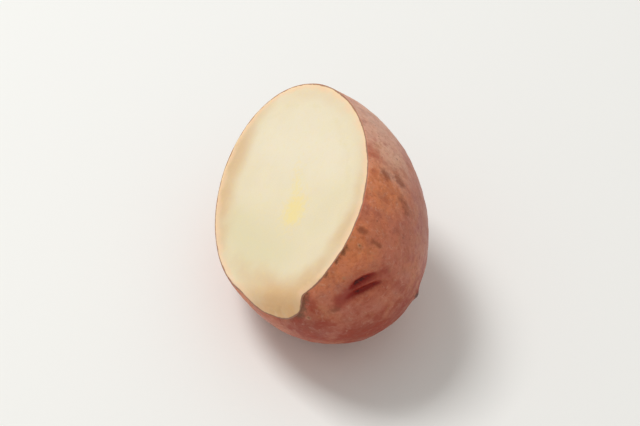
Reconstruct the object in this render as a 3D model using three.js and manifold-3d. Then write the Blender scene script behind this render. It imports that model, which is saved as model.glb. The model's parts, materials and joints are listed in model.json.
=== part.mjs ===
// A small red potato after one stroke of the knife: the larger piece, lying on its skin.
// Millimetres, +Z up. The origin is the middle of the small flat spot that it rests on.
import * as THREE from 'three';
import { mergeVertices } from 'three/addons/utils/BufferGeometryUtils.js';
import Module from 'manifold-3d';

// ---- the tuber before it is cut, in its own frame: +Y along it, +X across, +Z through it ----
const TUBER_LENGTH = 58;
const TUBER_WIDTH = 43.1;
const TUBER_THICKNESS = 45.9;
const END_NARROWING = 0.031; // share of the width lost at the far end and gained at the near one
const END_THINNING = 0.036; // the same for the thickness
const LEAN_ACROSS = -1.2; // how far the underside sits to one side of the cut face
const LEAN_ALONG = -3.8; // and how far towards the near end

// ---- the cuts ----
const CUT_HEIGHT = 7.3; // the knife's plane, above the tuber's middle
const SPOT_DEPTH = 0.7; // how much of the skin's curve the resting spot flattens
const CHIP_BEARING = 237; // where the rim is chipped, round the cut face from +X
const CHIP_REACH = 2; // how far the chip runs into the cut face
const CHIP_DROP = 4; // and how far down the skin

// ---- how it lies ----
const FACE_LEAN = 43.4; // the cut face, from level
const FACE_SPIN = 9.2; // the tuber's length, turned within the cut face
const HEADING = 4.7; // the whole piece, turned about the vertical

// ---- the eyes: short slits in shallow hollows, each under a low brow ----
const EYE_LENGTH = 8.5;
const EYE_WIDTH = 4.2;
const EYE_DEPTH = 0.9;
const BROW_HEIGHT = 0.35;
const BROW_PLACE = 1.6; // how far the brow is from the slit, in half-widths of the hollow
const STEM_SCAR_WIDTH = 2.6;
const STEM_SCAR_HEIGHT = 0.6;

// ---- mesh ----
const SKIN_DETAIL = 17; // each edge of the icosahedron is split into one more piece than this
const SAME_POINT = 1e-4; // corners nearer than this are one
const BLOCK = 400; // a block larger than the tuber, whose one face cuts

// Each eye: the way it faces from the tuber's middle, the way its slit runs, and its size
// against the largest one.
const EYES = [
  { faces: [0.26, -0.965, 0.0], runs: [0.77, 0.24, -0.6], size: 1 },
  { faces: [0.922, -0.375, 0.03], runs: [0.1, 0.38, 0.92], size: 0.5 },
  { faces: [-0.62, -0.45, -0.64], runs: [0.6, -0.8, 0], size: 0.7 },
  { faces: [0.72, 0.42, -0.55], runs: [0.5, 0, 0.86], size: 0.6 },
  { faces: [-0.3, 0.86, -0.4], runs: [1, 0.35, 0], size: 0.85 },
  { faces: [0.36, 0.9, 0.05], runs: [0.9, -0.36, -0.2], size: 0.6 },
];
const STEM_SCAR = [0.346, -0.667, -0.66];

// Broad swellings (+) and hollows (-): the way each faces, its spread in degrees, its height.
const SWELLINGS = [
  { faces: [0.3, -0.9, 0.3], spread: 24, height: -0.5 },
  { faces: [0.95, 0.1, -0.3], spread: 30, height: 0.35 },
  { faces: [-0.9, 0.3, -0.3], spread: 34, height: 0.4 },
  { faces: [0.1, 0.4, -0.9], spread: 30, height: 0.45 },
  { faces: [-0.5, -0.5, -0.7], spread: 26, height: -0.45 },
  { faces: [0.2, 0.95, -0.2], spread: 26, height: 0.4 },
];

const SKIN_COLOUR = 0xa5694f;

const wasm = await Module();
wasm.setup();

const degrees = THREE.MathUtils.degToRad;
const direction = (xyz) => new THREE.Vector3(...xyz).normalize();

// 1 at the middle of a feature, falling smoothly to nothing away from it.
const fade = (distance) => Math.exp(-distance * distance);

// The plain egg shape: the point of the skin that faces one way from the tuber's middle,
// with the cut plane at z = 0.
function eggPoint(faces) {
  const radius = new THREE.Vector3(TUBER_WIDTH, TUBER_LENGTH, TUBER_THICKNESS).divideScalar(2);
  const cut = CUT_HEIGHT / radius.z;
  const lean = (cut - faces.z) / (cut + 1);
  return new THREE.Vector3(
    radius.x * faces.x * (1 - END_NARROWING * faces.y) + LEAN_ACROSS * lean,
    radius.y * faces.y + LEAN_ALONG * lean,
    (radius.z * faces.z - CUT_HEIGHT) * (1 - END_THINNING * faces.y),
  );
}

// The skin's outward direction there, near enough for low bumps.
function eggNormal(faces) {
  return new THREE.Vector3(
    faces.x / TUBER_WIDTH,
    faces.y / TUBER_LENGTH,
    faces.z / TUBER_THICKNESS,
  ).normalize();
}

// Height of one eye over the skin at a point: a hollow along the slit, with a brow beside it.
function eyeHeight(eye, point) {
  const faces = direction(eye.faces);
  const out = eggNormal(faces);
  const along = direction(eye.runs).projectOnPlane(out).normalize();
  const beside = out.clone().cross(along);
  const from = point.clone().sub(eggPoint(faces));
  const down = from.dot(along) / ((EYE_LENGTH / 2) * eye.size);
  const over = from.dot(beside) / ((EYE_WIDTH / 2) * eye.size);
  const near = fade(from.dot(out) / (EYE_LENGTH * eye.size));
  const hollow = fade(down) * fade(over);
  const brow = fade(down) * fade(over - BROW_PLACE);
  return near * eye.size * (BROW_HEIGHT * brow - EYE_DEPTH * hollow);
}

function skinPoint(faces) {
  const point = eggPoint(faces);
  let height = 0;
  for (const swelling of SWELLINGS) {
    const apart = faces.angleTo(direction(swelling.faces)) / degrees(swelling.spread);
    height += swelling.height * fade(apart);
  }
  for (const eye of EYES) height += eyeHeight(eye, point);
  const fromScar = point.distanceTo(eggPoint(direction(STEM_SCAR)));
  height += STEM_SCAR_HEIGHT * fade(fromScar / (STEM_SCAR_WIDTH / 2));
  return point.addScaledVector(eggNormal(faces), height);
}

// A closed three.js geometry as a solid that can be cut.
function solidOf(geometry) {
  const bare = geometry.clone();
  bare.deleteAttribute('normal');
  bare.deleteAttribute('uv');
  const merged = mergeVertices(bare, SAME_POINT);
  return new wasm.Manifold(new wasm.Mesh({
    numProp: 3,
    vertProperties: merged.attributes.position.array,
    triVerts: Uint32Array.from(merged.index.array),
  }));
}

function geometryOf(solid) {
  const { vertProperties, triVerts } = solid.getMesh();
  const geometry = new THREE.BufferGeometry();
  geometry.setAttribute('position', new THREE.BufferAttribute(vertProperties, 3));
  geometry.setIndex(new THREE.BufferAttribute(triVerts, 1));
  return geometry;
}

// What lies beyond a plane: a block with one face through a point, on the side that "out" faces.
function beyond(point, out) {
  const block = new THREE.BoxGeometry(BLOCK, BLOCK, BLOCK).translate(0, 0, BLOCK / 2);
  const turn = new THREE.Quaternion().setFromUnitVectors(new THREE.Vector3(0, 0, 1), out);
  return solidOf(block.applyQuaternion(turn).translate(point.x, point.y, point.z));
}

function wholeTuber() {
  const ball = new THREE.IcosahedronGeometry(1, SKIN_DETAIL);
  const position = ball.attributes.position;
  const faces = new THREE.Vector3();
  for (let i = 0; i < position.count; i += 1) {
    faces.fromBufferAttribute(position, i).normalize();
    position.setXYZ(i, ...skinPoint(faces).toArray());
  }
  return solidOf(ball);
}

// The way the skin faces, at one bearing round the cut face and one height under the cut.
function facesAt(bearing, height) {
  const up = (CUT_HEIGHT + height) / (TUBER_THICKNESS / 2);
  const level = Math.sqrt(1 - up * up);
  const angle = degrees(bearing);
  return new THREE.Vector3(Math.cos(angle) * level, Math.sin(angle) * level, up);
}

// What the chip takes off the rim: all that is beyond a slanting plane along it.
function chip() {
  const rim = eggPoint(facesAt(CHIP_BEARING, 0));
  const foot = eggPoint(facesAt(CHIP_BEARING, -CHIP_DROP));
  const outward = new THREE.Vector3(
    Math.cos(degrees(CHIP_BEARING)) / TUBER_WIDTH,
    Math.sin(degrees(CHIP_BEARING)) / TUBER_LENGTH,
    0,
  ).normalize();
  const top = rim.clone().addScaledVector(outward, -CHIP_REACH);
  const alongRim = new THREE.Vector3(0, 0, 1).cross(outward);
  const out = foot.clone().sub(top).cross(alongRim).normalize();
  return beyond(top, out.z < 0 ? out.negate() : out);
}

// Turned to lie as it does on a table.
function laidDown(solid) {
  return geometryOf(solid)
    .rotateZ(degrees(FACE_SPIN))
    .rotateY(degrees(-FACE_LEAN))
    .rotateZ(degrees(HEADING));
}

function potatoHalf() {
  const up = new THREE.Vector3(0, 0, 1);
  const cutPiece = wholeTuber().subtract(beyond(new THREE.Vector3(), up)).subtract(chip());
  const laid = laidDown(cutPiece);
  laid.computeBoundingBox();
  const floor = laid.boundingBox.min.z + SPOT_DEPTH;
  const under = beyond(new THREE.Vector3(0, 0, floor), up.clone().negate());
  const rested = geometryOf(solidOf(laid).subtract(under)).translate(0, 0, -floor);

  // The middle of the resting spot goes to the origin.
  const spot = new THREE.Box3();
  const corner = new THREE.Vector3();
  const position = rested.attributes.position;
  for (let i = 0; i < position.count; i += 1) {
    corner.fromBufferAttribute(position, i);
    if (Math.abs(corner.z) < SAME_POINT) spot.expandByPoint(corner);
  }
  const middle = spot.getCenter(new THREE.Vector3());
  return rested.translate(-middle.x, -middle.y, 0);
}

const skin = new THREE.MeshStandardMaterial({ color: SKIN_COLOUR, roughness: 0.45, metalness: 0 });
const potato = new THREE.Mesh(potatoHalf(), skin);
potato.name = 'potato_half';

const group = new THREE.Group();
group.add(potato);

export default group;
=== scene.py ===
"""The larger part of a small red potato, cut across with a knife and lying on its skin.

The piece is modelled in the tuber's own frame, with the cut face level and the tuber's length
along Y, and is then laid down as its fixed frame lies. Lengths in the script are millimetres.
"""

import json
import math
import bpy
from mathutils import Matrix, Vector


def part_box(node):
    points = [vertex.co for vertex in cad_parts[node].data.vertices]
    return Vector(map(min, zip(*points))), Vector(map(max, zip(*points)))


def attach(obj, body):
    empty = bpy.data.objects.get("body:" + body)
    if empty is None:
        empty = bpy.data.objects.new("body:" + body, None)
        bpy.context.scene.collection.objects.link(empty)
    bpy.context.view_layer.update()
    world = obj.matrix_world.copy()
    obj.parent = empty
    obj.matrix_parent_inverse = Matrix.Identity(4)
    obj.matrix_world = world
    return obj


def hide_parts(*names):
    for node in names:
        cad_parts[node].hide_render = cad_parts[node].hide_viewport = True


bl_info = {
    "name": "Cut Potato",
    "version": (1, 0, 0),
    "blender": (4, 5, 0),
    "location": "3D View > Sidebar > Potato",
    "description": "Models, finishes and lights the cut part of a small red potato",
    "category": "Add Mesh",
}

import bmesh
import bpy
import numpy as np
from bpy.props import FloatProperty, FloatVectorProperty, IntProperty, PointerProperty
from mathutils import Matrix, Vector
from mathutils.kdtree import KDTree

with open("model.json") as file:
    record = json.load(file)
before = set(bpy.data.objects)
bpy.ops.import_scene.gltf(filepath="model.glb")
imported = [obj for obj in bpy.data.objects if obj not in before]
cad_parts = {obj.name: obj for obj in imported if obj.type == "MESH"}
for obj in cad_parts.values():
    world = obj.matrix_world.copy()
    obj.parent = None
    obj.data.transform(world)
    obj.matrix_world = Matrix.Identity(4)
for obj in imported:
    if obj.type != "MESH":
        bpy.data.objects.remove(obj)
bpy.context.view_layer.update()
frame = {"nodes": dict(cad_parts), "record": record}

MM = 0.001
NODE = "potato_half"
CUT_FACE = next(m for m in frame["record"]["mounts"] if m["name"] == "cut_face")
SKIN, FLESH = 0, 1  # the piece's two materials

# How near counts as touching: the frame's cut face, its floor, the chip's plane and the rim.
ON_CUT = 0.002
ON_FLOOR = 0.01
ON_CHIP = 0.006
ON_RIM = 0.001
# Vertices nearer than this are one, in the frame's solid and in the piece.
FRAME_POINT = 0.001
PIECE_POINT = 0.02
BARED_EDGE = 3.5  # a face of the frame's solid with a longer edge than this is bared flesh
GUIDE_REACH = 6  # how far the blank may be drawn onto the frame's skin
WEIGHT_STEPS = 200  # how finely a vertex group's weights are kept

# How far from each line its softening reaches, and how clear of the torn edge the crease's stays.
WAVER_REACH = 1.1
CREASE_REACH = 3.4
CREASE_CLEAR = 0.8
CORNER_REACH = 2.2
RIM_REACH = 0.4
BESIDE_REACH = 1.0
# How far in from the torn edge and from the crease the chip is fully uneven, and how far either side
# of the crease the colour of broken flesh, partly painted shade, comes in.
UNEVEN_FROM_EDGE = 1.2
UNEVEN_FROM_CREASE = 4.5
BROKEN_COLOUR = (-3.5, 4.5)
# Passes of smoothing: the frame's facets, the crease where the cut face turns into the chip, its
# two ends, the rounded rim, the line of the rim and what is beside it.
FACET_PASSES = 24
CREASE_PASSES = 1200
CORNER_PASSES = 160
RIM_PASSES = 4
LINE_PASSES = 24
BESIDE_PASSES = 30

# The stage, in metres.
FLOOR_SIZE = 4.0
KEY_FROM = Vector((-0.4, 0.28, 0.86))
PICTURE_SHAPE = 640 / 426  # width over height
ROUNDNESS = 0.75  # how much of its box's height in the picture a round piece is taken to fill
NEAREST, FURTHEST = 0.01, 20

# The eyes: the way each faces from the tuber's middle, the way its slits run, its size against
# the largest one, and how deep its upper and its lower slit are.
EYES = (
    {"faces": (0.26, -0.965, 0.0), "runs": (0.77, 0.24, -0.6), "size": 1.0, "depths": (1.0, 1.0)},
    {"faces": (0.922, -0.375, 0.03), "runs": (0.1, 0.38, 0.92), "size": 0.5, "depths": (0.1, 0.1)},
    {"faces": (-0.62, -0.45, -0.64), "runs": (0.6, -0.8, 0.0), "size": 0.7, "depths": (0.8, 0.3)},
    {"faces": (0.72, 0.42, -0.55), "runs": (0.5, 0.0, 0.86), "size": 0.6, "depths": (0.25, 0.7)},
    {"faces": (-0.3, 0.86, -0.4), "runs": (-1.0, -0.35, 0.0), "size": 0.85, "depths": (0.9, 0.6)},
    {"faces": (0.36, 0.9, 0.05), "runs": (-0.9, 0.36, 0.2), "size": 0.6, "depths": (0.7, 0.15)},
)
# The slits of the largest eye, the ridge between them and the reddened skin round them: how far
# along the eye and beside it each corner is, and the half-width and strength of the mark there.
UPPER_SLIT = ((-2.0, 0.15, 0.6, 0.6), (-0.7, 0.5, 0.85, 1.0), (0.8, 0.95, 0.9, 1.0),
              (2.2, 1.25, 0.6, 0.75), (4.2, 1.6, 0.5, 0.2))
LOWER_SLIT = ((-4.6, -1.35, 0.9, 0.2), (-2.9, -1.1, 0.8, 0.55), (-1.4, -0.9, 0.72, 0.9),
              (0.4, -0.72, 0.68, 0.95), (2.4, -0.6, 0.55, 0.85), (4.6, -0.7, 0.45, 0.4))
EYE_RIDGE = ((-1.0, -0.2, 0.4, 0.6), (0.7, 0.1, 0.5, 0.9), (3.0, 0.35, 0.5, 0.6))
EYE_HALO = ((-4.8, -1.2, 2.0, 0.8), (-1.0, 0.0, 2.6, 1.0), (2.0, 0.5, 2.4, 1.0),
            (5.0, 1.2, 1.8, 0.6))

# The dry nub where the stem grew, then the brown scars and large lenticels of the skin: where
# each runs, its half-width and its strength.
STEM_SCAR = (((6.8, -22.5, -22.5), (6.5, -22.0, -23.4)), 0.9, 1.0)
SCARS = (
    (((19.7, -11.9, -3.6), (19.6, -12.2, -4.2)), 1.3, 0.95),
    (((19.8, -11.7, -5.0), (19.9, -11.2, -6.4)), 0.9, 0.5),
    (((20.0, -11.3, -7.3), (19.8, -12.0, -8.3)), 1.25, 0.95),
    (((18.2, -15.6, -8.4), (17.8, -17.0, -10.4)), 1.5, 0.65),
    (((12.3, -22.9, -1.2), (12.4, -23.0, -1.9)), 0.8, 0.95),
    (((12.2, -24.1, -4.2), (12.3, -24.5, -6.0)), 0.6, 0.95),
    (((-1.8, -29.6, -6.1), (-0.8, -29.7, -6.3)), 0.9, 0.8),
    (((7.9, -26.8, -15.6), (8.2, -26.6, -16.0)), 0.5, 0.5),
    (((14.2, -22.4, -9.6), (14.3, -22.2, -10.2)), 0.5, 0.5),
    (((-17.4, 12.0, -17.0), (-16.8, 13.5, -18.4), (-15.4, 14.6, -20.0)), 0.7, 0.8),
    (((3.0, 24.6, -16.0), (5.5, 23.6, -17.4)), 0.6, 0.6),
    (((-20.6, -6.0, -9.0), (-21.0, -4.2, -10.2)), 0.7, 0.7),
    (((-13.0, -18.0, -19.0), (-12.0, -19.0, -19.4)), 0.8, 0.6),
    (((15.0, 12.0, -19.0), (14.4, 13.6, -19.6)), 0.6, 0.6),
)
# Nicks where the knife frayed the skin's edge, given in the same way. Along the chip's torn edge the
# dark line is partly a painted shadow under the torn skin.
NICKS_AND_SHADOW_LINE = (
    (((8.6, -25.0, -0.2), (7.4, -25.6, -0.3)), 0.7, 0.9),
    (((6.4, -26.1, -0.2), (5.4, -26.5, -0.3)), 0.6, 0.8),
    (((3.0, -27.2, -0.2), (2.0, -27.4, -0.3)), 0.5, 0.6),
    (((-3.4, -26.6, -0.6), (-5.0, -27.0, -2.2), (-8.0, -27.0, -3.8)), 1.1, 1.0),
    (((-8.0, -27.0, -3.8), (-12.0, -25.4, -4.6), (-15.5, -22.0, -4.0)), 0.7, 0.6),
    (((17.5, 14.5, -0.2), (17.0, 15.2, -0.3)), 0.5, 0.7),
    (((-19.6, -8.0, -0.2), (-19.0, -10.0, -0.3)), 0.5, 0.6),
)
# Where the cut face is tinted by the skin's pigment, where it is painted darker and greener as shade,
# where it is painted whiter as light, and its glassy yellow middle: each corner's place, and the
# half-width and strength of the tint there.
TAN_FLESH = (
    ((5.0, 26.5, 2.5, 0.3), (-4.0, 25.5, 3.5, 0.75), (-9.0, 21.5, 4.8, 1.0),
     (-14.5, 16.5, 5.0, 0.95), (-18.0, 8.5, 4.4, 0.85), (-19.5, 1.5, 3.2, 0.5),
     (-19.0, -4.0, 2.8, 0.3)),
    ((-18.0, -4.0, 3.0, 0.3), (-14.0, -14.0, 4.0, 0.7), (-10.0, -22.0, 4.6, 0.9),
     (-4.0, -25.5, 4.2, 0.9), (4.0, -24.6, 3.2, 0.75), (13.0, -19.0, 2.8, 0.65),
     (18.5, -9.0, 2.4, 0.45)),
    ((18.5, -9.0, 2.4, 0.45), (19.4, 3.0, 2.4, 0.35), (14.5, 16.0, 3.0, 0.45), (6.0, 25.0, 2.6, 0.3)),
)
# Painted shade: darker, greener flesh where less light falls on the cut face.
PAINTED_SHADE_FLESH = (
    ((-15.0, 3.5, 5.0, 0.9), (-12.0, -6.0, 7.0, 0.95), (-6.0, -14.0, 6.0, 0.7)),
    ((4.0, -14.0, 4.0, 0.4), (10.0, -12.0, 4.0, 0.4)),
)
# Painted light: whiter flesh where the most light falls on the cut face.
PAINTED_LIGHT_FLESH = (
    ((-1.0, 17.0, 7.0, 0.8), (6.0, 9.0, 11.0, 1.0), (12.0, -3.0, 7.0, 0.7)),
)
PITH = (
    ((-0.4, -7.2, 3.0, 1.0), (0.4, -5.8, 3.0, 1.0), (1.2, -3.4, 2.0, 0.6)),
    ((1.2, -3.4, 1.6, 0.5), (3.3, 2.1, 1.5, 0.35), (4.4, 5.6, 1.2, 0.1)),
)
TINTS = {"tan": TAN_FLESH, "green": PAINTED_SHADE_FLESH, "painted_light": PAINTED_LIGHT_FLESH, "pith": PITH}

# Broad patches of colour: the way each faces, its spread in degrees and its strength.
ORANGE_PATCHES = (
    ((0.86, -0.5, 0.16), 15.0, 1.0),
    ((0.42, -0.88, 0.28), 13.0, 1.0),
    ((0.15, -0.94, 0.3), 13.0, 0.8),
    ((0.85, 0.5, 0.1), 26.0, 0.5),
    ((-0.8, 0.55, -0.2), 28.0, 0.9),
    ((0.1, 0.75, -0.65), 26.0, 0.7),
    ((-0.75, -0.3, 0.1), 24.0, 0.6),
)
# Pale skin between the pigment, and in part a painted sheen where the moist skin faces the light.
PALE_AND_SHEEN_PATCHES = (
    ((0.98, 0.1, 0.2), 26.0, 1.0),
    ((0.96, -0.22, 0.05), 15.0, 0.9),
    ((0.6, 0.78, 0.0), 28.0, 0.7),
    ((-0.6, 0.75, -0.1), 26.0, 0.5),
    ((-0.5, -0.6, -0.6), 22.0, 0.4),
)
DEEP_PATCHES = (
    ((-0.42, -0.9, 0.0), 20.0, 1.0),
    ((-0.15, -0.9, -0.4), 24.0, 1.0),
    ((0.1, -0.8, -0.6), 26.0, 0.9),
    ((-0.55, 0.1, -0.83), 34.0, 0.8),
    ((0.8, 0.2, -0.5), 22.0, 0.5),
    ((0.3, 0.95, -0.1), 20.0, 0.6),
)
PURPLE_PATCHES = (
    ((0.7, -0.5, -0.5), 24.0, 0.8),
    ((-0.2, 0.9, -0.35), 24.0, 0.7),
    ((-0.85, -0.2, -0.45), 26.0, 0.8),
    ((0.5, 0.5, -0.75), 24.0, 0.6),
)
PATCHES = {
    "orange": ORANGE_PATCHES,
    "pale": PALE_AND_SHEEN_PATCHES,
    "deep": DEEP_PATCHES,
    "purple": PURPLE_PATCHES,
}


def colour(red, green, blue):
    """A colour given as 0 to 255, as the shader reads it."""
    parts = (red / 255, green / 255, blue / 255)
    return tuple(c / 12.92 if c <= 0.04045 else ((c + 0.055) / 1.055) ** 2.4 for c in parts)


# ---------------------------------------------------------------- settings


def length(name, description, default):
    return FloatProperty(name=name, description=f"{description}, in millimetres", default=default)


def turn(name, description, default):
    return FloatProperty(
        name=name, description=description, default=math.radians(default), subtype="ANGLE"
    )


def share(name, description, default):
    return FloatProperty(
        name=name, description=description, default=default, min=0, max=1, subtype="FACTOR"
    )


def paint(name, description, rgb):
    return FloatVectorProperty(
        name=name, description=description, default=colour(*rgb), min=0, max=1, subtype="COLOR"
    )


class PotatoShape(bpy.types.PropertyGroup):
    """Sizes of the potato and of the detail in its surface."""

    cut_height: length("Cut height", "Knife's plane above the tuber's middle", 7.3)
    face_spin: turn("Face spin", "Tuber's length, turned within the cut face", 9.2)
    lean_across: length("Lean across", "How far the underside sits to one side", -1.2)
    lean_along: length("Lean along", "How far the underside sits to the near end", -3.8)
    chip_bearing: turn("Chip bearing", "Where the rim is chipped, from +X", 237.0)
    chip_reach: length("Chip reach", "How far the chip runs into the cut face", 2.0)
    chip_drop: length("Chip drop", "How far the chip runs down the skin", 4.5)
    chip_roughness: length("Chip roughness", "Unevenness of the broken flesh", 0.8)
    chip_waver: length("Chip waver", "How far the broken edge wanders", 1.1)
    slit_depth: length("Slit depth", "Depth of an eye's slits", 0.8)
    ridge_height: length("Ridge height", "Height of the ridge between the slits", 0.3)
    scar_height: length("Scar height", "How far a scar stands up", 0.12)
    stem_scar_height: length("Stem scar height", "How far the stem scar stands up", 0.4)
    lump_height: length("Lumps", "Height of the skin's broad unevenness", 0.34)
    pucker_height: length("Puckers", "Height of the skin's small unevenness", 0.14)
    drag_height: length("Knife drag", "Unevenness that the knife left on the cut face", 0.05)
    density: IntProperty(
        name="Density", description="Cuts in each face of the blank", default=14, min=2, max=15
    )


class SkinFinish(bpy.types.PropertyGroup):
    """Colours and gloss of the skin."""

    rose: paint("Rose", "Most of the skin", (197, 116, 91))
    orange: paint("Orange", "Where the yellow flesh shows through", (214, 128, 80))
    deep: paint("Deep red", "Where the pigment is thickest", (146, 44, 14))
    purple: paint("Purple", "Cooler pigment", (166, 102, 96))
    # Also laid by the pale patches, where it is partly a painted sheen.
    pale: paint("Pale", "Between the blotches of pigment", (220, 176, 151))
    russet: paint("Russet", "Fine corky netting", (182, 140, 102))
    slit: paint("Slit", "Inside an eye", (146, 28, 12))
    # Painted shade: the darkest red where each slit is sunk deepest.
    slit_shade: paint("Crack", "The deepest part of an eye", (80, 8, 2))
    eye: paint("Eye", "Around an eye", (154, 52, 38))
    scar: paint("Scar", "Brown scars", (138, 70, 42))
    pore: paint("Pore", "The middles of lenticels, and fine specks", (112, 62, 38))
    stem: paint("Stem scar", "The dry end of the stem", (70, 42, 28))
    # Frayed skin at the rim; along the chip's torn edge partly a painted shadow line.
    nick_and_shadow: paint("Nick", "Frayed skin at the rim", (104, 64, 36))
    roughness: share("Roughness", "Gloss of the moist skin", 0.45)
    scatter: share("Scatter", "Light passing through the skin", 0.2)


class FleshFinish(bpy.types.PropertyGroup):
    """Colours and gloss of the flesh."""

    cream: paint("Cream", "The flesh", (231, 218, 187))
    tan: paint("Tan", "Where the skin's pigment tints it", (214, 178, 132))
    # Painted shade: darker, greener flesh where less light falls on the cut face.
    green: paint("Green", "Where it is greener and more glassy", (218, 208, 168))
    # Painted light: whiter flesh where the most light falls on the cut face.
    painted_light: paint("White", "Where it is drier and whiter", (236, 227, 206))
    ring: paint("Ring", "The thin glassy ring inside the skin", (222, 208, 164))
    pith: paint("Pith", "The glassy yellow middle", (238, 219, 152))
    line: paint("Line", "The pale line just inside the skin", (240, 205, 168))
    edge: paint("Edge", "The skin's cut edge", (150, 100, 78))
    # Bared cortex in the chip, its darker tan partly painted shade where the chip turns down from the
    # light.
    broken: paint("Broken", "Moist broken flesh in the chip", (220, 168, 108))
    edge_width: length("Edge width", "How much of the skin's thickness the cut shows", 0.36)
    line_width: length("Line width", "How far in the pale line reaches", 2.3)
    roughness: share("Roughness", "Gloss of the moist flesh", 0.48)
    scatter: share("Scatter", "Light passing through the flesh", 0.7)


class StageSettings(bpy.types.PropertyGroup):
    """The floor, the light and the camera."""

    floor: paint("Floor", "Plain pale floor", (241, 241, 238))
    sky: paint("Surround", "Even light from all round", (255, 254, 251))
    sky_strength: FloatProperty(
        name="Surround strength", description="Light from all round", default=0.53, min=0
    )
    backdrop_strength: FloatProperty(
        name="Backdrop strength", description="How light the surround looks", default=0.62, min=0
    )
    key_power: FloatProperty(
        name="Key power", description="Power of the soft box", default=5.5, min=0, unit="POWER"
    )
    key_size: FloatProperty(
        name="Key size", description="Side of the soft box", default=0.34, unit="LENGTH"
    )
    elevation: turn("Elevation", "Camera's height above level", 48.0)
    lens: FloatProperty(name="Lens", description="Focal length", default=100.0, unit="CAMERA")
    fill: share("Fill", "Share of the picture's height that the piece fills", 0.62)


# ---------------------------------------------------------------- small tools


def deselect_all():
    for thing in bpy.context.selected_objects:
        thing.select_set(False)


def make_active(thing):
    deselect_all()
    thing.select_set(True)
    bpy.context.view_layer.objects.active = thing


def apply_modifier(thing, kind, **settings):
    """Adds one modifier to a piece with its settings, and applies it."""
    make_active(thing)
    made = thing.modifiers.new(kind.title(), kind)
    for name, value in settings.items():
        setattr(made, name, value)
    bpy.ops.object.modifier_apply(modifier=made.name)


def soften(thing, group, passes):
    """Smooths a piece where one vertex group has weight."""
    apply_modifier(thing, "SMOOTH", vertex_group=group, factor=0.5, iterations=passes)


def points_of(thing):
    """A mesh's vertices as rows of millimetres."""
    flat = np.empty(len(thing.data.vertices) * 3)
    thing.data.vertices.foreach_get("co", flat)
    return flat.reshape(-1, 3) / MM


def fade(distance):
    """1 at the middle of a feature, falling smoothly to nothing away from it."""
    return np.exp(-np.square(distance))


def smooth_step(low, high, value):
    """0 up to the low value and 1 past the high one, with a smooth rise between them."""
    part = np.clip((value - low) / (high - low), 0, 1)
    return part * part * (3 - 2 * part)


def unit(way):
    """A direction at length 1."""
    way = np.array(way)
    return way / np.linalg.norm(way)


def stroke(points, corners, half_widths, strengths):
    """A mark along a line through a few corners: its strength at each point, fading sideways."""
    value = np.zeros(len(points))
    ends = zip(corners[:-1], corners[1:], half_widths[:-1], half_widths[1:])
    for index, (start, end, start_width, end_width) in enumerate(ends):
        start, step = np.array(start), np.array(end) - np.array(start)
        along = np.clip((points - start) @ step / (step @ step), 0, 1)
        apart = np.linalg.norm(points - start - along[:, None] * step, axis=1)
        half_width = start_width + along * (end_width - start_width)
        strength = strengths[index] + along * (strengths[index + 1] - strengths[index])
        value = np.maximum(value, strength * fade(apart / half_width))
    return value


def strokes(points, listed):
    """The strongest at each point of some marks that keep one half-width and strength each."""
    value = np.zeros(len(points))
    for corners, half_width, strength in listed:
        count = len(corners)
        mark = stroke(points, corners, [half_width] * count, [strength] * count)
        value = np.maximum(value, mark)
    return value


def tints(points, listed):
    """The strongest at each point of some tints of the cut face."""
    value = np.zeros(len(points))
    for line in listed:
        corners = [(across, along, 0.0) for across, along, _, _ in line]
        mark = stroke(points, corners, [end[2] for end in line], [end[3] for end in line])
        value = np.maximum(value, mark)
    return value


def paint_groups(thing, groups):
    """Vertex groups by name, each with one weight for each vertex."""
    for name, weights in groups.items():
        group = thing.vertex_groups.new(name=name)
        levels = np.round(np.clip(weights, 0, 1) * WEIGHT_STEPS).astype(int)
        for level in np.unique(levels[levels > 0]):
            inside = np.flatnonzero(levels == level).tolist()
            group.add(inside, level / WEIGHT_STEPS, "REPLACE")


def keep_values(thing, kept):
    """Attributes by name that the materials read, each with one value for each vertex."""
    for name, values in kept.items():
        made = thing.data.attributes.new(name, "FLOAT", "POINT")
        made.data.foreach_set("value", np.asarray(values, np.float32))


def clouds(name, size, depth):
    """A noise of lumps about one size across."""
    made = bpy.data.textures.new(name, "CLOUDS")
    made.noise_scale = size * MM
    made.noise_depth = depth
    return made


# ---------------------------------------------------------------- the tuber's frame


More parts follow.
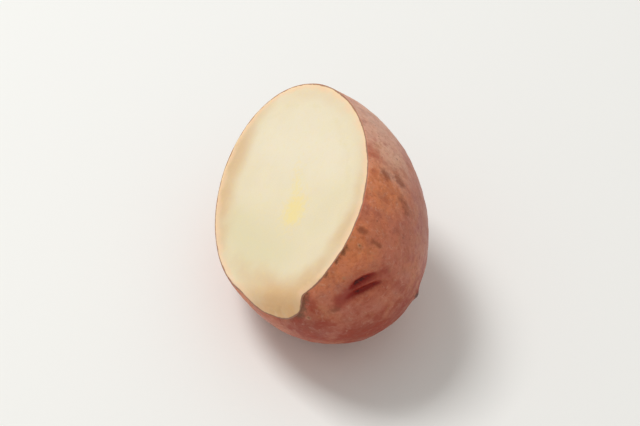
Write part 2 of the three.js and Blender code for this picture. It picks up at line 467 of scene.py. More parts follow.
class Tuber:
    """The tuber's own frame, and the sizes that the fixed frame gives it."""

    def __init__(self, shape):
        out = Vector(CUT_FACE["axis"]).normalized()
        spin = Matrix.Rotation(shape.face_spin, 4, "Z")
        lean = Matrix.Rotation(-math.acos(out.z), 4, "Y")
        heading = Matrix.Rotation(math.atan2(-out.y, -out.x), 4, "Z")
        turned = heading @ lean @ spin
        face_at = Matrix.Translation(Vector(CUT_FACE["pos_m"])) @ turned
        points = points_of(frame["nodes"][NODE])
        there = np.array(face_at.inverted())
        points = points @ there[:3, :3].T + there[:3, 3] / MM
        rim = points[np.abs(points[:, 2]) < ON_CUT]
        middle = (rim.min(0) + rim.max(0)) / 2
        self.to_row = face_at @ Matrix.Translation((middle[0] * MM, middle[1] * MM, 0))
        low, high = points.min(0), points.max(0)
        self.cut_height = shape.cut_height
        self.radius = np.array(
            [(high[0] - low[0]) / 2, (high[1] - low[1]) / 2, -low[2] - shape.cut_height]
        )
        self.lean = np.array([shape.lean_across, shape.lean_along, 0.0])

    def surface(self, faces):
        """The point of the skin that faces one way from the tuber's middle."""
        faces = unit(faces)
        cut = self.cut_height / self.radius[2]
        lean = self.lean * (cut - faces[2]) / (cut + 1)
        return self.radius * faces - (0, 0, self.cut_height) + lean

    def outward(self, faces):
        """The skin's outward direction there, near enough for low marks."""
        return unit(np.array(faces) / self.radius)

    def facing(self, points):
        """The way that each point of the skin faces from the tuber's middle."""
        ways = (points + (0, 0, self.cut_height)) / self.radius
        return ways / np.linalg.norm(ways, axis=1)[:, None]

    def rim_facing(self, bearing, height):
        """The way the skin faces at one bearing round the cut and one height over it."""
        up = (self.cut_height + height) / self.radius[2]
        level = math.sqrt(1 - up * up)
        return np.array([math.cos(bearing) * level, math.sin(bearing) * level, up])


# ---------------------------------------------------------------- modelling


def frame_skin(tuber):
    """A merged copy of the frame's solid in the tuber's frame, open where flesh is bared."""
    copy = frame["nodes"][NODE].copy()
    copy.data = copy.data.copy()
    copy.parent = None
    copy.name = "skin_guide"
    bpy.context.scene.collection.objects.link(copy)
    make_active(copy)
    bpy.ops.object.mode_set(mode="EDIT")
    bpy.ops.mesh.select_all(action="SELECT")
    bpy.ops.mesh.remove_doubles(threshold=FRAME_POINT * MM)
    mesh = bmesh.from_edit_mesh(copy.data)
    bared = [
        face
        for face in mesh.faces
        if max(edge.calc_length() for edge in face.edges) > BARED_EDGE * MM
        and face.calc_center_median().z > ON_FLOOR * MM
    ]
    bmesh.ops.delete(mesh, geom=bared, context="FACES_ONLY")
    bmesh.update_edit_mesh(copy.data)
    bpy.ops.object.mode_set(mode="OBJECT")
    copy.data.transform(tuber.to_row.inverted())
    return copy


def blank(tuber, shape):
    """A whole tuber: a cube rounded to an even ball and stretched to the tuber's size."""
    ball = float(tuber.radius.mean()) * MM
    deselect_all()
    bpy.ops.mesh.primitive_cube_add(size=2 * ball)
    made = bpy.context.active_object
    made.name = "cut_potato"
    apply_modifier(made, "SUBSURF", levels=3, render_levels=3)
    bpy.ops.object.mode_set(mode="EDIT")
    bpy.ops.mesh.select_all(action="SELECT")
    bpy.ops.mesh.subdivide(number_cuts=shape.density)
    bpy.ops.object.mode_set(mode="OBJECT")
    apply_modifier(made, "CAST", cast_type="SPHERE", factor=1, size=ball, use_radius_as_size=False)
    bpy.ops.object.mode_set(mode="EDIT")
    bpy.ops.mesh.select_all(action="SELECT")
    bpy.ops.transform.resize(value=tuple(tuber.radius * MM / ball), center_override=(0, 0, 0))
    bpy.ops.transform.translate(value=(0, 0, -tuber.cut_height * MM))
    bpy.ops.object.mode_set(mode="OBJECT")
    return made


def fit_to_frame(potato, guide):
    """Draws the blank onto the frame's skin, and softens the frame's facets."""
    apply_modifier(
        potato,
        "SHRINKWRAP",
        target=guide,
        wrap_method="PROJECT",
        use_negative_direction=True,
        use_positive_direction=True,
        project_limit=GUIDE_REACH * MM,
    )
    apply_modifier(potato, "SMOOTH", factor=0.5, iterations=FACET_PASSES)
    bpy.data.objects.remove(guide)


def select_nothing(mesh):
    for part in (mesh.faces, mesh.edges, mesh.verts):
        for item in part:
            item.select = False


def select_faces(potato, wanted):
    """In edit mode, selects only the faces for which wanted(face) is true."""
    mesh = bmesh.from_edit_mesh(potato.data)
    select_nothing(mesh)
    for face in mesh.faces:
        if wanted(face):
            face.select_set(True)
    bmesh.update_edit_mesh(potato.data)


def press_flat(potato, plane, material):
    """Presses what is beyond a plane flat onto it, as one clean stroke of a knife leaves it."""
    potato.data.transform(plane.inverted())
    make_active(potato)
    bpy.ops.object.mode_set(mode="EDIT")
    bpy.ops.mesh.select_all(action="SELECT")
    bpy.ops.mesh.bisect(plane_co=(0, 0, 0), plane_no=(0, 0, 1))
    select_faces(potato, lambda face: face.calc_center_median().z > 0)
    potato.active_material_index = material
    bpy.ops.object.material_slot_assign()
    bpy.ops.transform.resize(value=(1, 1, 0), center_override=(0, 0, 0))
    bpy.ops.mesh.select_all(action="SELECT")
    bpy.ops.mesh.remove_doubles(threshold=PIECE_POINT * MM)
    bpy.ops.object.mode_set(mode="OBJECT")
    potato.data.transform(plane)


def chip_frame(tuber, shape):
    """The chip's plane in the tuber's frame: its middle, with Z facing out of the chip."""
    bearing = shape.chip_bearing
    rim = tuber.surface(tuber.rim_facing(bearing, 0))
    foot = tuber.surface(tuber.rim_facing(bearing, -shape.chip_drop))
    outward = unit(np.array([math.cos(bearing), math.sin(bearing), 0]) / tuber.radius)
    top = rim - outward * shape.chip_reach
    out = np.cross(foot - top, np.cross((0, 0, 1), outward))
    out *= math.copysign(1, out[2]) / np.linalg.norm(out)
    turned = Vector(out).to_track_quat("Z", "Y").to_matrix().to_4x4()
    return Matrix.Translation(Vector((top + foot) / 2) * MM) @ turned


def distance_to(points, chosen):
    """How far each point is from the nearest of the chosen ones."""
    tree = KDTree(len(chosen))
    for index in chosen:
        tree.insert(points[index], index)
    tree.balance()
    return np.array([tree.find(point)[2] for point in points])


def between(potato, inside):
    """The vertices of a region, a truth for each vertex, that also touch faces outside it."""
    edge = set()
    for face in potato.data.polygons:
        corners = list(face.vertices)
        within = inside[corners]
        if within.any() and not within.all():
            edge.update(np.array(corners)[within].tolist())
    return sorted(edge)


def rim_points(potato):
    """The vertices where the skin meets bared flesh."""
    met = [set(), set()]
    for face in potato.data.polygons:
        met[face.material_index].update(face.vertices)
    return sorted(met[SKIN] & met[FLESH])


def even_rim(potato, passes):
    """Evens the line where the skin meets the flesh, which rounding its edge leaves jagged."""
    mesh = bmesh.new()
    mesh.from_mesh(potato.data)
    beside = {}
    for edge in mesh.edges:
        if len({face.material_index for face in edge.link_faces}) == 2:
            for vertex in edge.verts:
                beside.setdefault(vertex, []).append(edge.other_vert(vertex))
    for _ in range(passes):
        evened = {
            vertex: (2 * vertex.co + near[0].co + near[1].co) / 4
            for vertex, near in beside.items()
            if len(near) == 2
        }
        for vertex, place in evened.items():
            vertex.co = place
    mesh.to_mesh(potato.data)
    mesh.free()


def roughen_chip(potato, tuber, shape):
    """Makes the chip's face uneven, lets its edge wander and softens every cut edge.

    Returns how broken the flesh is at each point, from 0 to 1.
    """
    points = points_of(potato)
    there = np.array(chip_frame(tuber, shape).inverted())
    height = points @ there[2, :3] + there[2, 3] / MM
    on_chip = np.abs(height) < ON_CHIP
    rim = rim_points(potato)
    torn = distance_to(points, [index for index in rim if on_chip[index]])
    turning = set(between(potato, on_chip))
    from_rim = distance_to(points, rim)
    corner = distance_to(points, sorted(turning & set(rim)))
    crease = distance_to(points, sorted(turning - set(rim)))
    uneven = smooth_step(0, UNEVEN_FROM_EDGE, torn) * smooth_step(0, UNEVEN_FROM_CREASE, crease)
    groups = {
        "chip": on_chip * uneven,
        "torn_edge": fade(torn / WAVER_REACH),
        "crease": fade(crease / CREASE_REACH) * smooth_step(0, CREASE_CLEAR, torn),
        "corners": fade(corner / CORNER_REACH),
        "rim": fade(from_rim / RIM_REACH),
        "beside_rim": fade(from_rim / BESIDE_REACH) * (from_rim > ON_RIM),
    }
    paint_groups(potato, groups)
    waver = clouds("waver", 2.6, 1)
    waver.cloud_type = "COLOR"
    apply_modifier(
        potato,
        "DISPLACE",
        vertex_group="torn_edge",
        texture=waver,
        texture_coords="LOCAL",
        direction="RGB_TO_XYZ",
        strength=shape.chip_waver * MM,
    )
    soften(potato, "crease", CREASE_PASSES)
    soften(potato, "corners", CORNER_PASSES)
    apply_modifier(
        potato,
        "DISPLACE",
        vertex_group="chip",
        texture=clouds("break", 1.3, 3),
        texture_coords="LOCAL",
        strength=shape.chip_roughness * MM,
        mid_level=0.6,
    )
    soften(potato, "rim", RIM_PASSES)
    even_rim(potato, LINE_PASSES)
    soften(potato, "beside_rim", BESIDE_PASSES)
    potato.vertex_groups.clear()
    return smooth_step(*BROKEN_COLOUR, np.where(on_chip, crease, -crease))


def patches(tuber, points, listed):
    """The strength of broad patches of colour at each point."""
    ways = tuber.facing(points)
    value = np.zeros(len(points))
    for faces, spread, strength in listed:
        apart = np.degrees(np.arccos(np.clip(ways @ unit(faces), -1, 1)))
        value = np.maximum(value, strength * fade(apart / spread))
    return value


def eye_mark(tuber, eye, line, points):
    """One line of an eye, given along and beside it, laid on the skin."""
    faces = unit(eye["faces"])
    out = tuber.outward(faces)
    runs = np.array(eye["runs"])
    along = unit(runs - out * (out @ runs))
    beside = np.cross(out, along)
    middle = tuber.surface(faces)
    corners, half_widths, strengths = [], [], []
    for far, wide, half_width, strength in line:
        at = middle + (along * far + beside * wide) * eye["size"]
        corners.append(points[np.argmin(np.linalg.norm(points - at, axis=1))])
        half_widths.append(half_width * eye["size"])
        strengths.append(strength)
    return stroke(points, corners, half_widths, strengths)


def eye_marks(tuber, points):
    """The slits, ridges and reddened skin of all the eyes."""
    slit, ridge, halo = (np.zeros(len(points)) for _ in range(3))
    for eye in EYES:
        upper, lower = eye["depths"]
        most = max(upper, lower)
        for marks, line, depth in (
            (slit, UPPER_SLIT, upper),
            (slit, LOWER_SLIT, lower),
            (ridge, EYE_RIDGE, min(upper, lower)),
            (halo, EYE_HALO, most),
        ):
            np.maximum(marks, depth * eye_mark(tuber, eye, line, points), out=marks)
    return slit, ridge, halo


def shape_surface(potato, tuber, shape, broken):
    """Lumps, puckers, eyes and scars of the skin, and the knife's drag over the flesh."""
    points = points_of(potato)
    rim = distance_to(points, rim_points(potato))
    bared = np.zeros(len(points), bool)
    for face in potato.data.polygons:
        if face.material_index == FLESH:
            bared[list(face.vertices)] = True
    on_skin = np.where(bared, 0, smooth_step(0.1, 2.0, rim))
    on_flesh = np.where(bared, smooth_step(0.5, 3.0, rim), 0) * (1 - broken)
    slit, ridge, halo = eye_marks(tuber, points)
    scar = strokes(points, SCARS)
    # Frayed skin, and along the chip's torn edge partly a painted shadow line.
    nick_and_shadow = strokes(points, NICKS_AND_SHADOW_LINE)
    stem = strokes(points, (STEM_SCAR,))
    groups = {
        "skin": on_skin,
        "flesh": on_flesh,
        "slits": slit * on_skin,
        "ridges": ridge * on_skin,
        "scars": scar * on_skin,
        "stem_scar": stem * on_skin,
    }
    paint_groups(potato, groups)
    noise = {"texture_coords": "LOCAL", "mid_level": 0.5}
    reliefs = (
        ("skin", shape.lump_height, {"texture": clouds("lumps", 8.0, 1), **noise}),
        ("skin", shape.pucker_height, {"texture": clouds("puckers", 1.7, 2), **noise}),
        ("slits", -shape.slit_depth, {"mid_level": 0}),
        ("ridges", shape.ridge_height, {"mid_level": 0}),
        ("scars", shape.scar_height, {"mid_level": 0}),
        ("stem_scar", shape.stem_scar_height, {"mid_level": 0}),
        ("flesh", shape.drag_height, {"texture": clouds("drag", 5.0, 2), **noise}),
    )
    for group, height, settings in reliefs:
        apply_modifier(potato, "DISPLACE", vertex_group=group, strength=height * MM, **settings)
    potato.vertex_groups.clear()
    kept = {
        "rim_distance": rim,
        "slit": slit,
        "eye": halo,
        "scar": scar,
        "stem_scar": stem,
        "nick_and_shadow": nick_and_shadow,
        "broken": broken,
    }
    for name, listed in TINTS.items():
        kept[name] = tints(points, listed)
    for name, listed in PATCHES.items():
        kept[name] = patches(tuber, points, listed)
    keep_values(potato, kept)
    place = potato.data.attributes.new("tuber_place", "FLOAT_VECTOR", "POINT")
    place.data.foreach_set("vector", points.astype(np.float32).ravel())


def lay_down(potato, tuber):
    """Lays the piece as its frame lies, and flattens its resting spot on the floor."""
    potato.matrix_world = tuber.to_row
    make_active(potato)
    bpy.ops.object.transform_apply(location=True, rotation=True, scale=True)
    bpy.ops.object.mode_set(mode="EDIT")
    mesh = bmesh.from_edit_mesh(potato.data)
    select_nothing(mesh)
    for vertex in mesh.verts:
        vertex.select = vertex.co.z < ON_FLOOR * MM
    bmesh.update_edit_mesh(potato.data)
    bpy.context.tool_settings.mesh_select_mode = (True, False, False)
    bpy.ops.transform.resize(value=(1, 1, 0), center_override=(0, 0, 0))
    bpy.ops.object.mode_set(mode="OBJECT")
    bpy.ops.object.shade_smooth()


def check_closed(potato):
    """Raises an error if the finished mesh has a hole or a stray face."""
    mesh = bmesh.new()
    mesh.from_mesh(potato.data)
    open_edges = sum(not edge.is_manifold for edge in mesh.edges)
    mesh.free()
    if open_edges:
        raise RuntimeError(f"{potato.name} has {open_edges} edges that don't join two faces")


# ---------------------------------------------------------------- node helpers


class Nodes:
    """Short ways to add nodes to one node tree."""

    def __init__(self, tree):
        self.tree = tree

    def feed(self, socket, value):
        if isinstance(value, bpy.types.NodeSocket):
            self.tree.links.new(value, socket)
        elif value is not None:
            socket.default_value = value

    def add(self, kind, inputs=None, **settings):
        made = self.tree.nodes.new(kind)
        for name, value in settings.items():
            setattr(made, name, value)
        for name, value in (inputs or {}).items():
            self.feed(made.inputs[name], value)
        return made

    def math(self, operation, first, second=None, clamp=False):
        made = self.add("ShaderNodeMath", {0: first}, operation=operation, use_clamp=clamp)
        self.feed(made.inputs[1], second)
        return made.outputs[0]

    def remap(self, value, low, high, to_low=0.0, to_high=1.0):
        """The value from low to high, eased onto another range and held at its ends."""
        made = self.add(
            "ShaderNodeMapRange",
            {"Value": value, "From Min": low, "From Max": high},
            interpolation_type="SMOOTHSTEP",
        )
        self.feed(made.inputs["To Min"], to_low)
        self.feed(made.inputs["To Max"], to_high)
        return made.outputs["Result"]

    def mix(self, factor, first, second, blend="MIX"):
        made = self.add("ShaderNodeMix", data_type="RGBA", blend_type=blend)
        self.feed(made.inputs[0], factor)
        for socket, value in ((made.inputs[6], first), (made.inputs[7], second)):
            if not isinstance(value, bpy.types.NodeSocket):
                value = (*value, 1.0)
            self.feed(socket, value)
        return made.outputs[2]

    def noise(self, place, size, detail, roughness=0.55):
        """Noise of lumps about one size across, from 0 to 1."""
        made = self.add(
            "ShaderNodeTexNoise",
            {"Vector": place, "Scale": 1 / size, "Detail": detail, "Roughness": roughness},
        )
        return made.outputs["Fac"]

    def attribute(self, name, output="Fac"):
        return self.add("ShaderNodeAttribute", attribute_name=name).outputs[output]

    def frayed(self, name, noise, spread):
        """An attribute with its outline broken up by a noise."""
        return self.math("ADD", self.attribute(name), self.remap(noise, 0.3, 0.7, -spread, spread))

    def stained(self, base, over, name, noise, spread, reach, strength):
        """A colour with another laid over it where an attribute is high, its outline frayed."""
        mask = self.remap(self.frayed(name, noise, spread), *reach, 0.0, strength)
        return self.mix(mask, base, over)

    def shaded(self, base, value):
        """A colour made darker or lighter by a value about 1."""
        grey = self.add("ShaderNodeCombineColor", {0: value, 1: value, 2: value}).outputs[0]
        return self.mix(1.0, base, grey, "MULTIPLY")

    def strayed(self, place, size, distance):
        """The place, strayed a little by a noise, so that a pattern on it isn't regular."""
        noise = self.add("ShaderNodeTexNoise", {"Vector": place, "Scale": 1 / size, "Detail": 2.0})
        centred = self.add(
            "ShaderNodeVectorMath", {0: noise.outputs["Color"], 1: (0.5,) * 3}, operation="SUBTRACT"
        )
        scaled = self.add("ShaderNodeVectorMath", {0: centred.outputs[0]}, operation="SCALE")
        scaled.inputs["Scale"].default_value = 2 * distance
        return self.add(
            "ShaderNodeVectorMath", {0: place, 1: scaled.outputs[0]}, operation="ADD"
        ).outputs[0]


def new_group(name, inputs, outputs):
    """A node group with named inputs, each with a default, and named outputs."""
    tree = bpy.data.node_groups.new(name, "ShaderNodeTree")
    kinds = {"value": "NodeSocketFloat", "colour": "NodeSocketColor", "vector": "NodeSocketVector"}
    for label, kind, default in inputs:
        socket = tree.interface.new_socket(name=label, in_out="INPUT", socket_type=kinds[kind])
        if default is not None:
            socket.default_value = default
    for label, kind in outputs:
        tree.interface.new_socket(name=label, in_out="OUTPUT", socket_type=kinds[kind])
    source = tree.nodes.new("NodeGroupInput").outputs
    target = tree.nodes.new("NodeGroupOutput").inputs
    return tree, Nodes(tree), source, target


def specks_group():
    """Small round specks scattered over a surface, in some of the cells of a loose pattern."""
    tree, nodes, source, target = new_group(
        "Specks",
        (
            ("Place", "vector", None),
            ("Spacing", "value", 3.0),
            ("Size", "value", 0.3),
            ("Share", "value", 0.5),
        ),
        (("Mask", "value"), ("Core", "value")),
    )
    place = nodes.strayed(source["Place"], 0.6, 0.16)
    scaled = nodes.add("ShaderNodeVectorMath", {0: place}, operation="SCALE")
    nodes.feed(scaled.inputs["Scale"], nodes.math("DIVIDE", 1.0, source["Spacing"]))
    cells = nodes.add(
        "ShaderNodeTexVoronoi", {"Vector": scaled.outputs[0], "Scale": 1.0}, feature="F1"
    )
    distance = nodes.math("MULTIPLY", cells.outputs["Distance"], source["Spacing"])
    pick = nodes.add("ShaderNodeSeparateColor", {0: cells.outputs["Color"]}).outputs
    chosen = nodes.math("LESS_THAN", pick[0], source["Share"])
    size = nodes.math("MULTIPLY", source["Size"], nodes.remap(pick[1], 0.0, 1.0, 0.55, 1.0))
    for name, inner, outer in (("Mask", 0.5, 1.0), ("Core", 0.15, 0.6)):
        from_middle = nodes.math("MULTIPLY", size, inner)
        dot = nodes.remap(distance, from_middle, nodes.math("MULTIPLY", size, outer), 1.0, 0.0)
        nodes.feed(target[name], nodes.math("MULTIPLY", dot, chosen))
    return tree


def blotches_group():
    """Soft irregular blotches with finer ones inside them."""
    tree, nodes, source, target = new_group(
        "Blotches",
        (("Place", "vector", None), ("Size", "value", 2.0), ("Cover", "value", 0.5)),
        (("Mask", "value"),),
    )
    scale = nodes.math("DIVIDE", 1.0, source["Size"])
    noise = nodes.add(
        "ShaderNodeTexNoise",
        {"Vector": source["Place"], "Scale": scale, "Detail": 6.0, "Roughness": 0.68},
    )
    level = nodes.math("SUBTRACT", 1.0, source["Cover"])
    low = nodes.math("ADD", nodes.math("MULTIPLY", level, 0.4), 0.24)
    nodes.feed(
        target["Mask"], nodes.remap(noise.outputs["Fac"], low, nodes.math("ADD", low, 0.2))
    )
    return tree


def netting_group():
    """Thin wandering lines that join into a net, in places."""
    tree, nodes, source, target = new_group(
        "Netting",
        (("Place", "vector", None), ("Size", "value", 1.8), ("Width", "value", 0.08)),
        (("Mask", "value"),),
    )
    place = nodes.strayed(source["Place"], 1.6, 0.7)
    scaled = nodes.add("ShaderNodeVectorMath", {0: place}, operation="SCALE")
    nodes.feed(scaled.inputs["Scale"], nodes.math("DIVIDE", 1.0, source["Size"]))
    cells = nodes.add(
        "ShaderNodeTexVoronoi",
        {"Vector": scaled.outputs[0], "Scale": 1.0},
        feature="DISTANCE_TO_EDGE",
    )
    distance = nodes.math("MULTIPLY", cells.outputs["Distance"], source["Size"])
    line = nodes.remap(distance, 0.0, source["Width"], 1.0, 0.0)
    where = nodes.remap(nodes.noise(source["Place"], 4.5, 3.0), 0.5, 0.68)
    nodes.feed(target["Mask"], nodes.math("MULTIPLY", line, where))
    return tree


def grain_group():
    """Fine relief of plant tissue: soft pebbling with a finer grain over it."""
    tree, nodes, source, target = new_group(
        "Tissue Grain",
        (("Place", "vector", None), ("Coarse", "value", 0.8), ("Fine", "value", 0.2)),
        (("Height", "value"),),
    )
    heights = []
    for size, strength in (("Coarse", 1.0), ("Fine", 0.4)):
        scale = nodes.math("DIVIDE", 1.0, source[size])
        made = nodes.add(
            "ShaderNodeTexNoise", {"Vector": source["Place"], "Scale": scale, "Detail": 2.0}
        )
        heights.append(nodes.math("MULTIPLY", made.outputs["Fac"], strength))
    nodes.feed(target["Height"], nodes.math("ADD", heights[0], heights[1]))
    return tree


def use_group(nodes, tree, output=0, **inputs):
    made = nodes.add("ShaderNodeGroup", inputs, node_tree=tree)
    return made.outputs[output]


# ---------------------------------------------------------------- materials


def new_material(name):
    made = bpy.data.materials.new(name)
    made.use_nodes = True
    shader = made.node_tree.nodes["Principled BSDF"]
    return made, Nodes(made.node_tree), shader


def set_scatter(shader, weight, radius, scale):
    shader.inputs["Subsurface Weight"].default_value = weight
    shader.inputs["Subsurface Radius"].default_value = radius
    shader.inputs["Subsurface Scale"].default_value = scale * MM


def skin_material(finish, effects):
    """Thin moist skin: rose, orange and deep red in soft patches, with lenticels and netting."""
    made, nodes, shader = new_material("potato_skin")
    place = nodes.attribute("tuber_place", "Vector")
    broad = nodes.noise(place, 9.0, 2.0)
    medium = nodes.noise(place, 3.2, 4.0, 0.6)
    small = nodes.noise(place, 0.9, 4.0, 0.65)

    def laid(base, mask, strength, over):
        return nodes.mix(nodes.math("MULTIPLY", mask, strength), base, over)

    tint = nodes.mix(nodes.remap(broad, 0.35, 0.65, 0.0, 0.5), finish.rose, finish.orange)
    # The pale patches are partly pale skin and partly a painted sheen.
    for name, strength in (("orange", 0.9), ("pale", 0.75), ("purple", 0.75), ("deep", 0.92)):
        over = getattr(finish, name)
        tint = nodes.stained(tint, over, name, medium, 0.3, (0.1, 1.0), strength)
    blotch = effects["blotches"]
    large = use_group(nodes, blotch, Place=place, Size=2.6, Cover=0.42)
    flecks = use_group(nodes, blotch, Place=place, Size=0.75, Cover=0.4)
    gaps = use_group(nodes, blotch, Place=nodes.strayed(place, 2.0, 1.5), Size=1.1, Cover=0.3)
    tint = laid(tint, large, 0.28, finish.deep)
    tint = laid(tint, flecks, 0.3, finish.deep)
    tint = laid(tint, gaps, 0.3, finish.pale)
    netted = use_group(nodes, effects["netting"], Place=place, Size=1.7, Width=0.13)
    tint = laid(tint, netted, 0.24, finish.russet)
    tint = nodes.shaded(tint, nodes.remap(medium, 0.25, 0.75, 0.86, 1.12))

    specks = effects["specks"]
    dots = {"Place": place, "Spacing": 4.4, "Size": 0.85, "Share": 0.6}
    lenticel, core = (use_group(nodes, specks, name, **dots) for name in ("Mask", "Core"))
    pepper = use_group(nodes, specks, Place=place, Spacing=1.6, Size=0.3, Share=0.45)
    tint = laid(tint, lenticel, 0.35, finish.russet)
    tint = laid(tint, core, 0.6, finish.pore)
    tint = laid(tint, pepper, 0.4, finish.pore)
    for over, *mark in (
        (finish.scar, "scar", small, 0.18, (0.1, 1.0), 0.8),
        (finish.stem, "stem_scar", small, 0.1, (0.2, 0.8), 0.9),
        (finish.eye, "eye", medium, 0.2, (0.15, 1.0), 0.85),
        (finish.slit, "slit", small, 0.12, (0.15, 0.75), 0.97),
        # Painted shade where each slit is deepest.
        (finish.slit_shade, "slit", small, 0.2, (0.75, 1.05), 0.85),
        # Frayed skin, and along the chip's torn edge partly a painted shadow line.
        (finish.nick_and_shadow, "nick_and_shadow", small, 0.3, (0.2, 0.95), 0.8),
    ):
        tint = nodes.stained(tint, over, *mark)
    nodes.feed(shader.inputs["Base Color"], tint)

    gloss = (finish.roughness - 0.08, finish.roughness + 0.1)
    corky = nodes.math("MULTIPLY", netted, 0.25)
    rough = nodes.math("ADD", nodes.remap(medium, 0.2, 0.8, *gloss), corky, clamp=True)
    nodes.feed(shader.inputs["Roughness"], rough)
    height = use_group(nodes, effects["grain"], Place=place, Coarse=0.9, Fine=0.25)
    wrinkled = nodes.math("MULTIPLY", nodes.attribute("eye"), small)
    reliefs = ((lenticel, 0.5), (core, -0.3), (netted, 0.22), (flecks, -0.12), (wrinkled, 1.6))
    for mask, strength in reliefs:
        height = nodes.math("ADD", height, nodes.math("MULTIPLY", mask, strength))
    bump = nodes.add("ShaderNodeBump", {"Strength": 0.4, "Distance": 0.14 * MM, "Height": height})
    nodes.feed(shader.inputs["Normal"], bump.outputs[0])
    set_scatter(shader, finish.scatter, (1.0, 0.35, 0.18), 1.2)
    shader.inputs["Specular IOR Level"].default_value = 0.32
    return made


def flesh_material(finish, effects):
    """Waxy flesh: cream, with a glassy yellow pith and a tint from the skin near the rim."""
    made, nodes, shader = new_material("potato_flesh")
    place = nodes.attribute("tuber_place", "Vector")
    rim = nodes.attribute("rim_distance")
    broken = nodes.attribute("broken")
    broad = nodes.noise(place, 8.0, 2.0)
    medium = nodes.noise(place, 2.6, 4.0)
    small = nodes.noise(place, 0.8, 4.0)
    cells = nodes.noise(place, 0.22, 2.0, 0.5)
    uneven_tone = nodes.remap(broad, 0.3, 0.7, 0.985, 1.015)
    grainy_tone = nodes.remap(cells, 0.3, 0.7, 0.975, 1.02)
    tint = nodes.shaded(finish.cream, nodes.math("MULTIPLY", uneven_tone, grainy_tone))
    # The greener tint is painted shade and the whiter tint painted light on the cut face; the tan is
    # the skin's pigment.
    for over, *mark in (
        (finish.green, "green", broad, 0.12, (0.0, 1.0), 0.6),
        (finish.tan, "tan", broad, 0.14, (0.1, 1.1), 0.85),
        (finish.painted_light, "painted_light", broad, 0.1, (0.0, 1.0), 0.5),
    ):
        tint = nodes.stained(tint, over, *mark)

    ring = nodes.math("SUBTRACT", rim, nodes.remap(broad, 0.3, 0.7, 4.2, 5.8))
    ring = nodes.remap(nodes.math("ABSOLUTE", ring), 0.0, 1.1, 1.0, 0.0)
    ring = nodes.math("MULTIPLY", ring, nodes.remap(medium, 0.35, 0.65, 0.0, 0.24))
    tint = nodes.mix(ring, tint, finish.ring)

    tint = nodes.stained(tint, finish.pith, "pith", small, 0.3, (0.0, 1.0), 0.85)
    # The broken flesh darkens toward the chip's tip: partly bared cortex, partly painted shade.
    moist = nodes.math("MULTIPLY", nodes.remap(medium, 0.3, 0.7, 0.7, 0.95), broken)
    tint = nodes.mix(moist, tint, finish.broken)
    whole = nodes.remap(broken, 0.3, 1.0, 1.0, 0.25)

    uneven = nodes.remap(medium, 0.3, 0.7, 0.6, 1.2)
    line = nodes.math("DIVIDE", rim, nodes.math("MULTIPLY", uneven, finish.line_width))
    pale_line = nodes.math("MULTIPLY", nodes.remap(line, 1.0, 0.1, 0.0, 0.8), whole)
    tint = nodes.mix(pale_line, tint, finish.line)
    edge = nodes.math("DIVIDE", rim, nodes.math("MULTIPLY", uneven, finish.edge_width))
    tint = nodes.mix(nodes.remap(edge, 1.1, 0.8, 0.0, 0.95), tint, finish.edge)
    nodes.feed(shader.inputs["Base Color"], tint)

    gloss = (finish.roughness - 0.07, finish.roughness + 0.07)
    nodes.feed(shader.inputs["Roughness"], nodes.remap(small, 0.25, 0.75, *gloss))
    height = use_group(nodes, effects["grain"], Place=place, Coarse=0.6, Fine=0.2)
    torn = use_group(nodes, effects["grain"], Place=place, Coarse=1.2, Fine=0.4)
    torn = nodes.math("MULTIPLY", torn, nodes.math("MULTIPLY", broken, 2.5))
    height = nodes.math("ADD", height, torn)
    bump = nodes.add("ShaderNodeBump", {"Strength": 0.3, "Distance": 0.1 * MM, "Height": height})
    nodes.feed(shader.inputs["Normal"], bump.outputs[0])
    set_scatter(shader, finish.scatter, (1.0, 0.8, 0.45), 2.2)
    shader.inputs["Specular IOR Level"].default_value = 0.4
    return made


def plain_material(name, rgb, roughness):
    made, _, shader = new_material(name)
    shader.inputs["Base Color"].default_value = (*rgb, 1.0)
    shader.inputs["Roughness"].default_value = roughness
    shader.inputs["Specular IOR Level"].default_value = 0.2
    return made


# ---------------------------------------------------------------- operators


class POTATO_OT_cut_piece(bpy.types.Operator):
    """Model and finish the cut potato on its fixed frame"""

    bl_idname = "potato.cut_piece"
    bl_label = "Cut Potato"

    def execute(self, context):
        shape = context.scene.potato_shape
        skin, flesh = context.scene.potato_skin, context.scene.potato_flesh
        tuber = Tuber(shape)
        effects = {
            "specks": specks_group(),
            "blotches": blotches_group(),
            "netting": netting_group(),
            "grain": grain_group(),
        }
        potato = blank(tuber, shape)
        potato.data.materials.append(skin_material(skin, effects))
        potato.data.materials.append(flesh_material(flesh, effects))
        fit_to_frame(potato, frame_skin(tuber))
        press_flat(potato, Matrix(), FLESH)
        press_flat(potato, chip_frame(tuber, shape), FLESH)
        broken = roughen_chip(potato, tuber, shape)
        shape_surface(potato, tuber, shape, broken)
        lay_down(potato, tuber)
        check_closed(potato)
        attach(potato, "root")
        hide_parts(NODE)
        return {"FINISHED"}


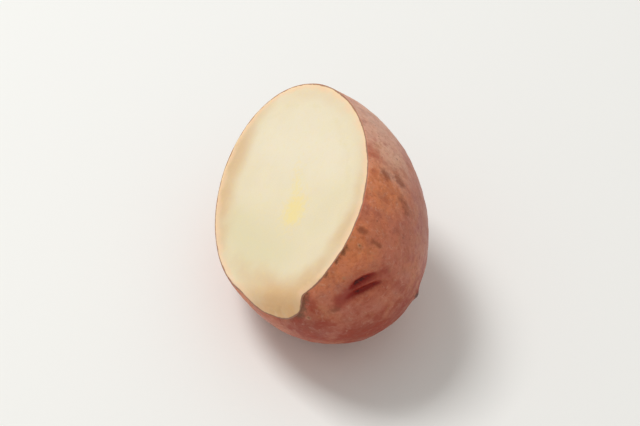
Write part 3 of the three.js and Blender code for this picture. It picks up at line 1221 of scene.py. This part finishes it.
class POTATO_OT_stage(bpy.types.Operator):
    """Lay the pale floor, hang the soft light and place the camera"""

    bl_idname = "potato.stage"
    bl_label = "Stage"

    def execute(self, context):
        stage = context.scene.potato_stage
        low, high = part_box(NODE)
        middle = (low + high) / 2
        deselect_all()
        bpy.ops.mesh.primitive_plane_add(size=FLOOR_SIZE)
        floor = context.active_object
        floor.name = "floor"
        floor.data.materials.append(plain_material("pale_floor", stage.floor, 0.7))

        deselect_all()
        bpy.ops.object.light_add(type="AREA", location=middle + KEY_FROM)
        key = context.active_object
        key.name = "soft_box"
        key.data.energy = stage.key_power
        key.data.size = stage.key_size
        key.rotation_euler = KEY_FROM.to_track_quat("Z", "Y").to_euler()

        world = bpy.data.worlds.new("studio")
        context.scene.world = world
        world.use_nodes = True
        nodes = Nodes(world.node_tree)
        sky = world.node_tree.nodes["Background"]
        sky.inputs["Color"].default_value = (*stage.sky, 1.0)
        seen = nodes.add("ShaderNodeLightPath").outputs["Is Camera Ray"]
        strength = nodes.remap(seen, 0.0, 1.0, stage.sky_strength, stage.backdrop_strength)
        nodes.feed(sky.inputs["Strength"], strength)

        deselect_all()
        level, up = math.cos(stage.elevation), math.sin(stage.elevation)
        back = Vector((0, -level, up))
        bpy.ops.object.camera_add()
        camera = context.active_object
        camera.name = "camera"
        camera.data.lens = stage.lens
        shown = (high.y - low.y) * up + (high.z - low.z) * level
        frame_width = PICTURE_SHAPE * ROUNDNESS * shown / stage.fill
        distance = frame_width * stage.lens / camera.data.sensor_width
        camera.location = middle + back * distance
        camera.rotation_euler = back.to_track_quat("Z", "Y").to_euler()
        camera.data.clip_start = NEAREST
        camera.data.clip_end = FURTHEST
        context.scene.camera = camera
        context.scene.view_settings.view_transform = "Standard"
        return {"FINISHED"}


class POTATO_PT_panel(bpy.types.Panel):
    """Lists the pieces and the stage in the sidebar"""

    bl_idname = "POTATO_PT_panel"
    bl_label = "Cut Potato"
    bl_space_type = "VIEW_3D"
    bl_region_type = "UI"
    bl_category = "Potato"

    def draw(self, context):
        layout = self.layout
        for operator, group in (
            (POTATO_OT_cut_piece, context.scene.potato_shape),
            (None, context.scene.potato_skin),
            (None, context.scene.potato_flesh),
            (POTATO_OT_stage, context.scene.potato_stage),
        ):
            if operator:
                layout.operator(operator.bl_idname)
            box = layout.box()
            for name in group.__annotations__:
                box.prop(group, name)


GROUPS = {
    "potato_shape": PotatoShape,
    "potato_skin": SkinFinish,
    "potato_flesh": FleshFinish,
    "potato_stage": StageSettings,
}
CLASSES = (*GROUPS.values(), POTATO_OT_cut_piece, POTATO_OT_stage, POTATO_PT_panel)


def register():
    for item in CLASSES:
        bpy.utils.register_class(item)
    for name, group in GROUPS.items():
        setattr(bpy.types.Scene, name, PointerProperty(type=group))


def unregister():
    for name in GROUPS:
        delattr(bpy.types.Scene, name)
    for item in reversed(CLASSES):
        bpy.utils.unregister_class(item)


def main():
    register()
    bpy.ops.potato.cut_piece()
    bpy.ops.potato.stage()


if __name__ == "__main__":
    main()
